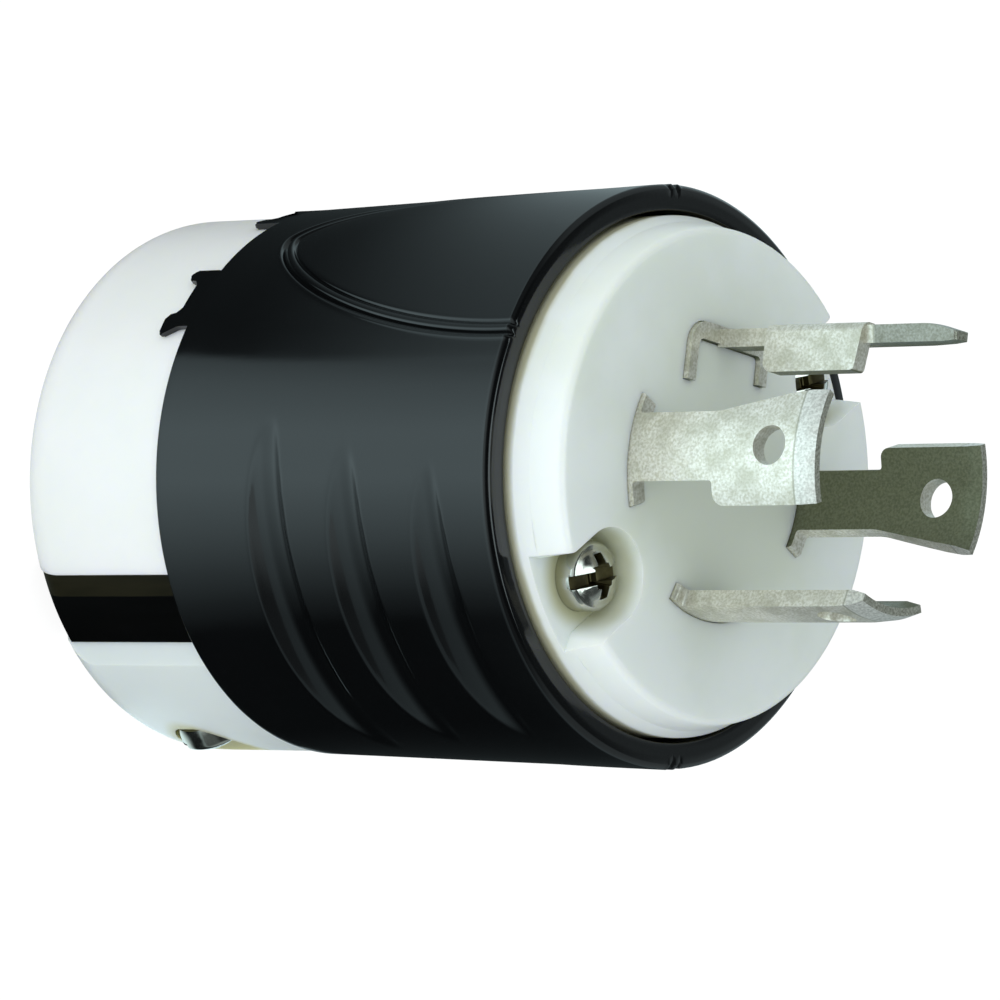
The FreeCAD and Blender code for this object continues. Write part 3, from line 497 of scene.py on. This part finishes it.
def add_collar(material):
    """The collar with its beaded thumb panels and soft finger grooves, in place of the plain node."""
    quarters = [make(turn * math.pi / 2) for turn, make in enumerate((finger_quarter, panel_quarter) * 2)]
    grids = [quarter.points for quarter in quarters] + [collar_rims(quarter) for quarter in quarters]
    mesh = grid_mesh("collar_shell", grids)
    form = bmesh.new()
    form.from_mesh(mesh)
    for side in (-1, 1):
        lug_blocks(form, side)
    clean(form, 0.003)
    form.to_mesh(mesh)
    form.free()
    collar = add_object("collar_shell", mesh, COLLAR_SHARP, material)
    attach(collar, "root")
    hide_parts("collar")


def screw_grid(sizes):
    """A screw along Z with its head's top at zero: a domed head and a threaded shank, as one turned grid."""
    turns = np.linspace(0, 2 * math.pi, 49)
    head, shank, length = sizes["head_r"], sizes["shank_r"], sizes["length"]
    flat = head - SCREW_EDGE
    rows = [(flat * share, -SCREW_DOME * share ** 2) for share in np.linspace(0, 1, 9)]
    rows += [(flat + SCREW_EDGE * math.sin(turn), -SCREW_DOME - SCREW_EDGE * (1 - math.cos(turn)))
             for turn in np.linspace(0.3, math.pi / 2, 5)]
    rows += [(head, -sizes["head_t"]), (shank, -sizes["head_t"])]
    grid = [polar(radius, turns, z) for radius, z in rows]
    for z in np.arange(sizes["head_t"] + 1, length - 0.5, THREAD_PITCH / THREAD_ROWS):
        wave = 0.5 - 0.5 * np.cos(2 * math.pi * z / THREAD_PITCH + turns)
        grid.append(polar(shank - THREAD_DEPTH * wave, turns, -z))
    grid += [polar(shank - 2 * THREAD_DEPTH, turns, -length), polar(0, turns, -length)]
    return np.array(grid)


def wedge(length, width, depth, low_length, low_width):
    """A cutter that tapers down from above the screw's top to a depth; sizes are halves."""
    form = bmesh.new()
    bmesh.ops.create_cube(form, size=2)
    for point in form.verts:
        top = point.co.z > 0
        point.co.x *= (length if top else low_length) * MM
        point.co.y *= (width if top else low_width) * MM
        point.co.z = (CUTTER_TOP if top else -depth) * MM
    mesh = bpy.data.meshes.new("cutter")
    form.to_mesh(mesh)
    form.free()
    return mesh


def cut_mesh(mesh, cutters, bevel):
    """A mesh less its cutters, with its sharp edges bevelled."""
    scene = bpy.context.scene.collection.objects
    work = bpy.data.objects.new("work", mesh)
    scene.link(work)
    helpers = []
    for cutter in cutters:
        helper = bpy.data.objects.new("cutter", cutter)
        scene.link(helper)
        helpers.append(helper)
        slot = work.modifiers.new("cut", "BOOLEAN")
        slot.object = helper
        slot.solver = "EXACT"
    edges = work.modifiers.new("edges", "BEVEL")
    edges.width = bevel * MM
    edges.segments = 2
    edges.limit_method = "ANGLE"
    edges.angle_limit = math.radians(40)
    bpy.context.view_layer.update()
    result = bpy.data.meshes.new_from_object(work.evaluated_get(bpy.context.evaluated_depsgraph_get()))
    for helper in helpers + [work]:
        bpy.data.objects.remove(helper)
    return result


def screw_mesh(name, sizes):
    """One screw with a slot and a cross recess, whose recess faces have the second material, dark as painted
    shade.
    """
    mesh = grid_mesh(name, [screw_grid(sizes)])
    form = bmesh.new()
    form.from_mesh(mesh)
    clean(form, 0.002)
    form.to_mesh(mesh)
    form.free()
    head = sizes["head_r"]
    past = head + 1
    shapes = ((past, SLOT_HALF_WIDTH, SLOT_DEPTH, past, SLOT_HALF_WIDTH), CROSS_ARM, CROSS_MIDDLE)
    done = cut_mesh(mesh, [wedge(*shape) for shape in shapes], DRIVE_BEVEL)
    # The recess faces take the second material: painted shade.
    for face in done.polygons:
        centre = face.center / MM
        radius = math.hypot(centre.x, centre.y)
        top = -SCREW_DOME * (radius / (head - SCREW_EDGE)) ** 2 - RECESS_BELOW
        face.material_index = int(radius < head - RECESS_EDGE and -RECESS_FLOOR < centre.z < top)
    return done


def screw_places(node, sizes, axis):
    """Where a node's two screws go, from its box: along Z, or along Y with the heads on the low side."""
    low, high = [Vector(corner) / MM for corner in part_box(node)]
    turn = Matrix.Rotation(math.radians(sizes["drive"]), 4, "Z")
    if axis == "Z":
        rest = (0, high.z + sizes["proud"])
    else:
        rest = (low.y - sizes["proud"], (low.z + high.z) / 2)
        turn = Matrix.Rotation(math.pi / 2, 4, "X") @ turn
    for side in (-1, 1):
        place = Vector((side * (high.x - sizes["head_r"]), *rest)) * MM
        yield Matrix.Translation(place) @ turn


def add_screws(node, sizes, axis, metal, recess):
    """Two domed combination-head screws, in place of a plain node."""
    screw = screw_mesh(node + "_body", sizes)
    form = bmesh.new()
    for place in screw_places(node, sizes, axis):
        piece = screw.copy()
        piece.transform(place)
        form.from_mesh(piece)
    mesh = bpy.data.meshes.new(node + "_detail")
    form.to_mesh(mesh)
    form.free()
    screws = add_object(node + "_detail", mesh, SCREW_SHARP, metal, recess)
    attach(screws, "root")
    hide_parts(node)


def shading_group():
    """A geometry node group that shades every face smooth."""
    group = bpy.data.node_groups.new("smooth_faces", "GeometryNodeTree")
    group.interface.new_socket("Geometry", in_out="INPUT", socket_type="NodeSocketGeometry")
    group.interface.new_socket("Geometry", in_out="OUTPUT", socket_type="NodeSocketGeometry")
    start = group.nodes.new("NodeGroupInput")
    smooth = group.nodes.new("GeometryNodeSetShadeSmooth")
    end = group.nodes.new("NodeGroupOutput")
    group.links.new(start.outputs[0], smooth.inputs["Geometry"])
    group.links.new(smooth.outputs[0], end.inputs[0])
    return group


def soften(group, width, *names):
    """Rounds the sharp edges of CAD nodes with modifiers, to a width in millimetres."""
    for name in names:
        node = frame["nodes"][name]
        node.modifiers.new("joined", "WELD").merge_threshold = 0.002 * MM
        flats = node.modifiers.new("flats", "DECIMATE")
        flats.decimate_type = "DISSOLVE"
        flats.angle_limit = math.radians(1)
        node.modifiers.new("smooth", "NODES").node_group = group
        bevel = node.modifiers.new("edges", "BEVEL")
        bevel.width = width * MM
        bevel.segments = 3
        bevel.limit_method = "ANGLE"
        bevel.angle_limit = math.radians(35)
        normals = node.modifiers.new("normals", "WEIGHTED_NORMAL")
        normals.weight = 100


def black_nylon():
    """Satin moulded nylon, with a faint grain along the axis."""
    material, surface, shader = new_material("black_nylon")
    grain = shader.noise(9000, 3.0)
    streaks = shader.noise(2600, 2.0, (1, 1, 0.06))
    patches = shader.noise(160, 2.0)
    worn = shader.spread(patches, *NOISE_SPAN, 0.09, 0.13)
    drawn = shader.spread(streaks, *NOISE_SPAN, 0.0, 0.02)
    shader.plug(surface, "Base Color", (0.0018, 0.002, 0.0023))
    shader.plug(surface, "Roughness", shader.math("ADD", worn, drawn))
    shader.plug(surface, "IOR", 1.53)
    shader.plug(surface, "Normal", shader.bump(shader.math("ADD", grain, streaks), 0.0016 * MM))
    return material


def core_nylon():
    """Black nylon with an olive strip of painted shade along the core's upper edge."""
    material, surface, shader = new_material("core_nylon")
    mottle = shader.noise(900, 3.0, (1, 1, 0.15))
    height = shader.parts(shader.place())["Y"]
    edge = shader.math("ADD", height, shader.math("MULTIPLY", mottle, 0.2 * MM))
    # Painted shade: the olive strip along the upper edge, its border wobbled by the mottle.
    olive = shader.blend(mottle, (0.005, 0.005, 0.002), (0.018, 0.016, 0.007))
    tone = shader.blend(shader.spread(edge, 1.85 * MM, 2.0 * MM, 0, 1), (0.001, 0.001, 0.001), olive)
    shader.plug(surface, "Base Color", tone)
    shader.plug(surface, "Roughness", shader.spread(mottle, *NOISE_SPAN, 0.3, 0.4))
    shader.plug(surface, "Specular IOR Level", 0.1)
    shader.plug(surface, "Normal", shader.bump(shader.noise(6000), 0.004 * MM))
    return material


def white_nylon(name, cool, warm, warm_reach, screws=None, foot=None):
    """Milky white nylon with clouds of its own tone, painted shade as a darker warm tone towards the axis,
    and painted olive shade round screws and at a foot.
    """
    material, surface, shader = new_material(name)
    clouds = shader.spread(shader.noise(75, 4.0), 0.38, 0.68, 0, 1)
    grain = shader.noise(5000, 2.0)
    flat = shader.add("VectorMath", {0: shader.place(), 1: (1, 1, 0)}, operation="MULTIPLY").outputs[0]
    # Painted shade: a darker, warmer tone towards the axis; the clouds are the nylon's own tone.
    core = shader.spread(shader.length(flat), warm_reach * 0.3, warm_reach, 0.8, 0.0)
    share = shader.math("MINIMUM", shader.math("ADD", core, shader.math("MULTIPLY", clouds, 0.45)), 1.0)
    tone = shader.blend(share, cool, warm)
    if screws:
        # Painted shade: olive in the pockets round the screws.
        tone = shader.blend(near_screws(shader, *screws), tone, (0.50, 0.50, 0.28))
    if foot:
        # Painted shadow: olive at the foot of the wall, just above the collar's land.
        height = shader.parts(shader.place())["Z"]
        uneven = shader.math("ADD", height, shader.math("MULTIPLY", clouds, -0.4 * MM))
        low = shader.spread(uneven, (foot - 0.1) * MM, (foot + 0.7) * MM, 0.75, 0)
        tone = shader.blend(low, tone, (0.40, 0.38, 0.20))
    shader.plug(surface, "Base Color", tone)
    shader.plug(surface, "Roughness", shader.spread(clouds, 0, 1, 0.28, 0.38))
    shader.plug(surface, "Subsurface Weight", 0.7)
    shader.plug(surface, "Subsurface Radius", (1.0, 0.95, 0.65))
    shader.plug(surface, "Subsurface Scale", 1.6 * MM)
    shader.plug(surface, "Normal", shader.bump(grain, 0.003 * MM))
    return material


def near_screws(shader, screw_x, side, middle, near, far):
    """High near the two screws at an X and another coordinate in millimetres, if below the face's front: the
    mask of painted shade in their pockets.
    """
    place = shader.parts(shader.place())
    across = shader.math("SUBTRACT", shader.math("ABSOLUTE", place["X"]), screw_x * MM)
    along = shader.math("SUBTRACT", place[side], middle * MM)
    flat = shader.add("CombineXYZ", {"X": across, "Y": along}).outputs[0]
    below = shader.spread(place["Z"], *OLIVE_TOP, 1, 0)
    return shader.math("MULTIPLY", shader.spread(shader.length(flat), near * MM, far * MM, 0.9, 0), below)


def inward_share(shader):
    """How far a surface faces the plug's axis: where the blades' inner sides get painted shade."""
    place = shader.parts(shader.place())
    flat = shader.add("CombineXYZ", {"X": place["X"], "Y": place["Y"]}).outputs[0]
    outward = shader.add("VectorMath", {0: flat}, operation="NORMALIZE").outputs[0]
    return shader.spread(shader.dot(outward, shader.normal()), -0.6, -0.9, 0, 1)


def blade_tone(shader, flecks, tip_start, tip_colour):
    """The plate's colour: flecked and stained; its tip of another tone, partly painted light and shade; a
    line of painted shade where the tip starts; painted shade on the upward end faces and the inner sides.
    """
    height = shader.parts(shader.place())["Z"]
    fleck = shader.spread(flecks, 0.28, 0.72, 0, 1)
    stains = shader.spread(shader.noise(420, 5.0), 0.42, 0.72, 0, 0.55)
    tone = shader.blend(fleck, (0.62, 0.60, 0.49), (0.93, 0.92, 0.85))
    tone = shader.blend(stains, tone, (0.45, 0.44, 0.33))
    # The tip's tone stands in for its bevel's shading: partly painted light and shade.
    tip = shader.spread(height, tip_start, tip_start + 0.15 * MM, 0, 0.75)
    tip_tone = shader.blend(fleck, [0.62 * value for value in tip_colour], tip_colour)
    tone = shader.blend(tip, tone, tip_tone)
    # Painted shade: a dark line where the tip starts.
    line = shader.math("ABSOLUTE", shader.math("SUBTRACT", height, tip_start))
    tone = shader.blend(shader.spread(line, 0.03 * MM, 0.14 * MM, 0.55, 0), tone, (0.25, 0.25, 0.19))
    # Painted shade: the upward end faces near the blades' tips darker.
    upward = shader.spread(shader.parts(shader.normal())["Z"], 0.5, 0.8, 0, 0.8)
    end = shader.math("MULTIPLY", upward, shader.spread(height, *BLADE_ENDS, 0, 1))
    tone = shader.blend(end, tone, shader.blend(fleck, (0.16, 0.16, 0.11), (0.5, 0.5, 0.42)))
    # Painted shade: the blades' inner sides, which face the axis, darker.
    inner_shade = shader.blend(fleck, (0.13, 0.14, 0.085), (0.20, 0.215, 0.14))
    return shader.blend(inward_share(shader), tone, inner_shade)


def blade_nickel(name, tip_start, tip_colour):
    """Blasted nickel plate with a sparkling grain."""
    material, surface, shader = new_material(name)
    grain = shader.noise(8000, 3.0)
    flecks = shader.noise(4200, 5.0)
    shader.plug(surface, "Base Color", blade_tone(shader, flecks, tip_start, tip_colour))
    shader.plug(surface, "Metallic", 0.7)
    shader.plug(surface, "Roughness", shader.spread(grain, *NOISE_SPAN, 0.3, 0.46))
    shader.plug(surface, "Normal", shader.bump(shader.math("ADD", grain, flecks), 0.014 * MM))
    return material


def bright_metal(name, colour, roughness):
    """A turned and plated metal."""
    material, surface, shader = new_material(name)
    mottle = shader.noise(1500, 3.0)
    shader.plug(surface, "Base Color", colour)
    shader.plug(surface, "Metallic", 1.0)
    shader.plug(surface, "Roughness", shader.spread(mottle, *NOISE_SPAN, roughness * 0.7, roughness * 1.4))
    shader.plug(surface, "Normal", shader.bump(mottle, 0.01 * MM))
    return material


def rubber():
    """Matte black rubber."""
    material, surface, shader = new_material("rubber")
    shader.plug(surface, "Base Color", (0.012, 0.012, 0.012))
    shader.plug(surface, "Roughness", shader.spread(shader.noise(2500), *NOISE_SPAN, 0.7, 0.85))
    return material


def add_sheet(name, size, height):
    """A square stage sheet at a height."""
    bpy.ops.mesh.primitive_plane_add(size=size, location=(0, 0, height))
    sheet = bpy.context.object
    sheet.name = name
    return sheet


def add_floor():
    """A plain pale floor under the plug, brighter on the lit side, which shiny surfaces don't mirror."""
    floor = add_sheet("floor", 8.0, 0)
    material, surface, shader = new_material("floor")
    shader.plug(surface, "Base Color", (0.2, 0.2, 0.2))
    shader.plug(surface, "Roughness", 1.0)
    shader.plug(surface, "Specular IOR Level", 0.0)
    shader.plug(surface, "Emission Color", (1, 1, 1))
    room_glow = shader.spread(shader.dot(shader.place(), LIT_SIDE), -0.15, 0.15, 0.42, 0.95)
    seen_glow = shader.math("MULTIPLY", shader.add("LightPath").outputs["Is Camera Ray"], 0.9)
    shader.plug(surface, "Emission Strength", shader.math("MAXIMUM", room_glow, seen_glow))
    floor.data.materials.append(material)
    floor.visible_glossy = False


def mirror_share(angle):
    """An azimuth in degrees as a share of the turn that starts at the first of MIRROR_ROUND."""
    return (angle - MIRROR_ROUND[0][0]) / 360


def mirror_ramp(shader, share):
    """The radiance of MIRROR_ROUND at a share of the turn; the ramp holds half of it, as it ends at 1."""
    node = shader.add("ValToRGB", {0: share})
    elements = node.color_ramp.elements
    while len(elements) > 1:
        elements.remove(elements[-1])
    for index, (angle, radiance) in enumerate(MIRROR_ROUND):
        element = elements[0] if index == 0 else elements.new(mirror_share(angle))
        element.position = mirror_share(angle)
        element.color = (radiance / 2,) * 3 + (1,)
    return shader.math("MULTIPLY", node.outputs[0], 2)


def mirror_strength(shader):
    """The card's strength by azimuth and by distance from the axis."""
    place = shader.parts(shader.place())
    reach = shader.length(shader.place())
    azimuth = shader.math("ARCTAN2", place["Y"], place["X"])
    turned = shader.math("SUBTRACT", azimuth, math.radians(MIRROR_ROUND[0][0]))
    share = shader.math("DIVIDE", shader.math("FLOORED_MODULO", turned, 2 * math.pi), 2 * math.pi)
    before_step = shader.spread(share, *[mirror_share(angle) for angle in MIRROR_STEP], 1, 0)
    upper = shader.math("MULTIPLY", before_step, shader.spread(share, 0.0, 0.02, 0.2, 1))
    rise = shader.spread(reach, 50 * MM, 92 * MM, 0.2, 1.75)
    weight = shader.math("ADD", shader.math("MULTIPLY", upper, rise), shader.math("SUBTRACT", 1, upper))
    near = shader.spread(reach, 24 * MM, 48 * MM, 0.25, 1)
    far = shader.spread(reach, 80 * MM, 135 * MM, 0, 0.3)
    glint = shader.spread(reach, 30 * MM, 38 * MM, 1.3, 0)
    glint = shader.math("MULTIPLY", glint, shader.spread(share, 0.7, 0.74, 0, 1))
    strength = shader.math("MULTIPLY", mirror_ramp(shader, share), shader.math("MULTIPLY", weight, near))
    return shader.math("ADD", shader.math("ADD", strength, far), glint)


def add_mirror_card():
    """A glowing card under the floor that only shiny surfaces see, as a studio's softboxes."""
    card = add_sheet("mirror_card", 1.2, -2 * MM)
    material = bpy.data.materials.new("mirror_card")
    material.use_nodes = True
    material.cycles.emission_sampling = "NONE"
    nodes = material.node_tree.nodes
    nodes.remove(nodes["Principled BSDF"])
    shader = Shader(material.node_tree)
    glow = shader.add("Emission", {"Color": MIRROR_TINT, "Strength": mirror_strength(shader)})
    shader.plug(nodes["Material Output"], "Surface", glow.outputs[0])
    card.data.materials.append(material)
    for ray in ("camera", "diffuse", "transmission", "shadow", "volume_scatter"):
        setattr(card, "visible_" + ray, False)


def add_light(name, place, target, size, power, colour):
    """A soft light that faces its target, and that shiny surfaces don't mirror."""
    data = bpy.data.lights.new(name, "AREA")
    data.shape = "RECTANGLE"
    data.size, data.size_y = size
    data.energy = power
    data.color = colour
    light = bpy.data.objects.new(name, data)
    light.location = place
    aim = Vector(target) - Vector(place)
    light.rotation_euler = aim.to_track_quat("-Z", "Y").to_euler()
    light.visible_glossy = False
    bpy.context.scene.collection.objects.link(light)


def room_strength(shader, direction, side):
    """What shiny surfaces see of the room: walls lit on one side, and a bright window overhead."""
    height = shader.parts(direction)["Z"]
    front = shader.spread(side, 0.6, 0.9, 0.12, 0.9)
    back = shader.spread(side, -0.2, 0.25, 0.26, 0)
    walls = shader.math("MULTIPLY", shader.spread(height, 0.55, 0.7, 1, 0.2), shader.math("ADD", front, back))
    return shader.math("ADD", walls, shader.spread(height, 0.9, 0.94, 0, 2.6))


def add_world():
    """A pale surround, brighter on one side, that shiny surfaces see as a grey room."""
    world = bpy.data.worlds.new("surround")
    bpy.context.scene.world = world
    world.use_nodes = True
    shader = Shader(world.node_tree)
    nodes = world.node_tree.nodes
    surround = nodes["Background"]
    direction = shader.add("TexCoord").outputs["Generated"]
    side = shader.dot(direction, LIT_SIDE)
    shader.plug(surround, "Color", (0.95, 1.0, 1.0))
    shader.plug(surround, "Strength", shader.spread(side, -1, 1, 0.5, 0.95))
    room = shader.add("Background", {"Color": ROOM_TINT, "Strength": room_strength(shader, direction, side)})
    mirrored = shader.add("LightPath").outputs["Is Glossy Ray"]
    mix = shader.add("MixShader", {0: mirrored, 1: surround.outputs[0], 2: room.outputs[0]})
    shader.plug(nodes["World Output"], "Surface", mix.outputs[0])


add_camera()
bpy.context.scene.view_settings.view_transform = "Standard"
BLACK = black_nylon()
FACE = white_nylon("face_nylon", (0.84, 0.90, 0.90), (0.71, 0.77, 0.68), warm_reach=21 * MM,
                   screws=(17.6, "Y", 0, 3.2, 5.2), foot=LAND_Z)
WHITE = white_nylon("rear_nylon", (0.83, 0.86, 0.87), (0.76, 0.81, 0.78), warm_reach=12 * MM)
CORE = core_nylon()
# Painted shade: the moving half is the same white nylon, darkened for the shade on its side.
MOVING_SHADED = white_nylon("moving_nylon_shaded", (0.67, 0.74, 0.75), (0.65, 0.71, 0.71), warm_reach=12 * MM,
                     screws=(16.5, "Z", 8.6, 3.4, 4.6))
# The line blades' lighter tip: their coined band's smoother finish, partly a painted highlight.
BLADE = blade_nickel("blade_nickel", 82.3 * MM, (0.92, 0.92, 0.87))
# The ground blade's darker tip is painted shade on its nose.
GROUND = blade_nickel("ground_nickel", 81.6 * MM, (0.20, 0.21, 0.17))
SCREW = bright_metal("screw_nickel", (0.56, 0.55, 0.49), 0.16)
# Painted shade: the screws' recesses darkened, as a shadow would.
RECESS = bright_metal("screw_recess_shade", (0.09, 0.075, 0.035), 0.4)
STEEL = bright_metal("plate_steel", (0.58, 0.58, 0.56), 0.3)
BRASS = bright_metal("screw_brass", (0.72, 0.52, 0.24), 0.25)
GREEN = bright_metal("screw_green", (0.05, 0.26, 0.10), 0.3)
RUBBER = rubber()
add_collar(BLACK)
ROUNDING = shading_group()
soften(ROUNDING, 0.4, "face_insert")
soften(ROUNDING, 0.3, "clamp_half_fixed", "clamp_half_moving", "wire_guide")
soften(ROUNDING, 0.15, "blade_ground", "blade_line_x", "blade_line_y", "blade_neutral", "cord_core")
assign(BLACK, "collar")
assign(CORE, "cord_core")
assign(FACE, "face_insert")
assign(RUBBER, "cord_grommet")
assign(WHITE, "wire_guide", "clamp_half_fixed")
assign(MOVING_SHADED, "clamp_half_moving")
assign(BLADE, "blade_line_x", "blade_line_y", "blade_neutral")
assign(GROUND, "blade_ground")
assign(SCREW, "assembly_screws", "clamp_screws", "terminal_screw_neutral")
add_screws("assembly_screws", ASSEMBLY_SCREW, "Z", SCREW, RECESS)
add_screws("clamp_screws", CLAMP_SCREW, "Y", SCREW, RECESS)
assign(STEEL, "clamp_nuts", "pressure_plate_ground", "pressure_plate_neutral", "pressure_plate_x",
       "pressure_plate_y")
assign(BRASS, "assembly_nuts", "terminal_screws_line")
assign(GREEN, "terminal_screw_ground")
add_floor()
add_mirror_card()
add_world()
add_light("key", place=(-0.9, 0.5, 0.45), target=(0, 0, 0.04), size=(0.7, 0.7), power=2.5,
          colour=(1.0, 1.0, 0.98))
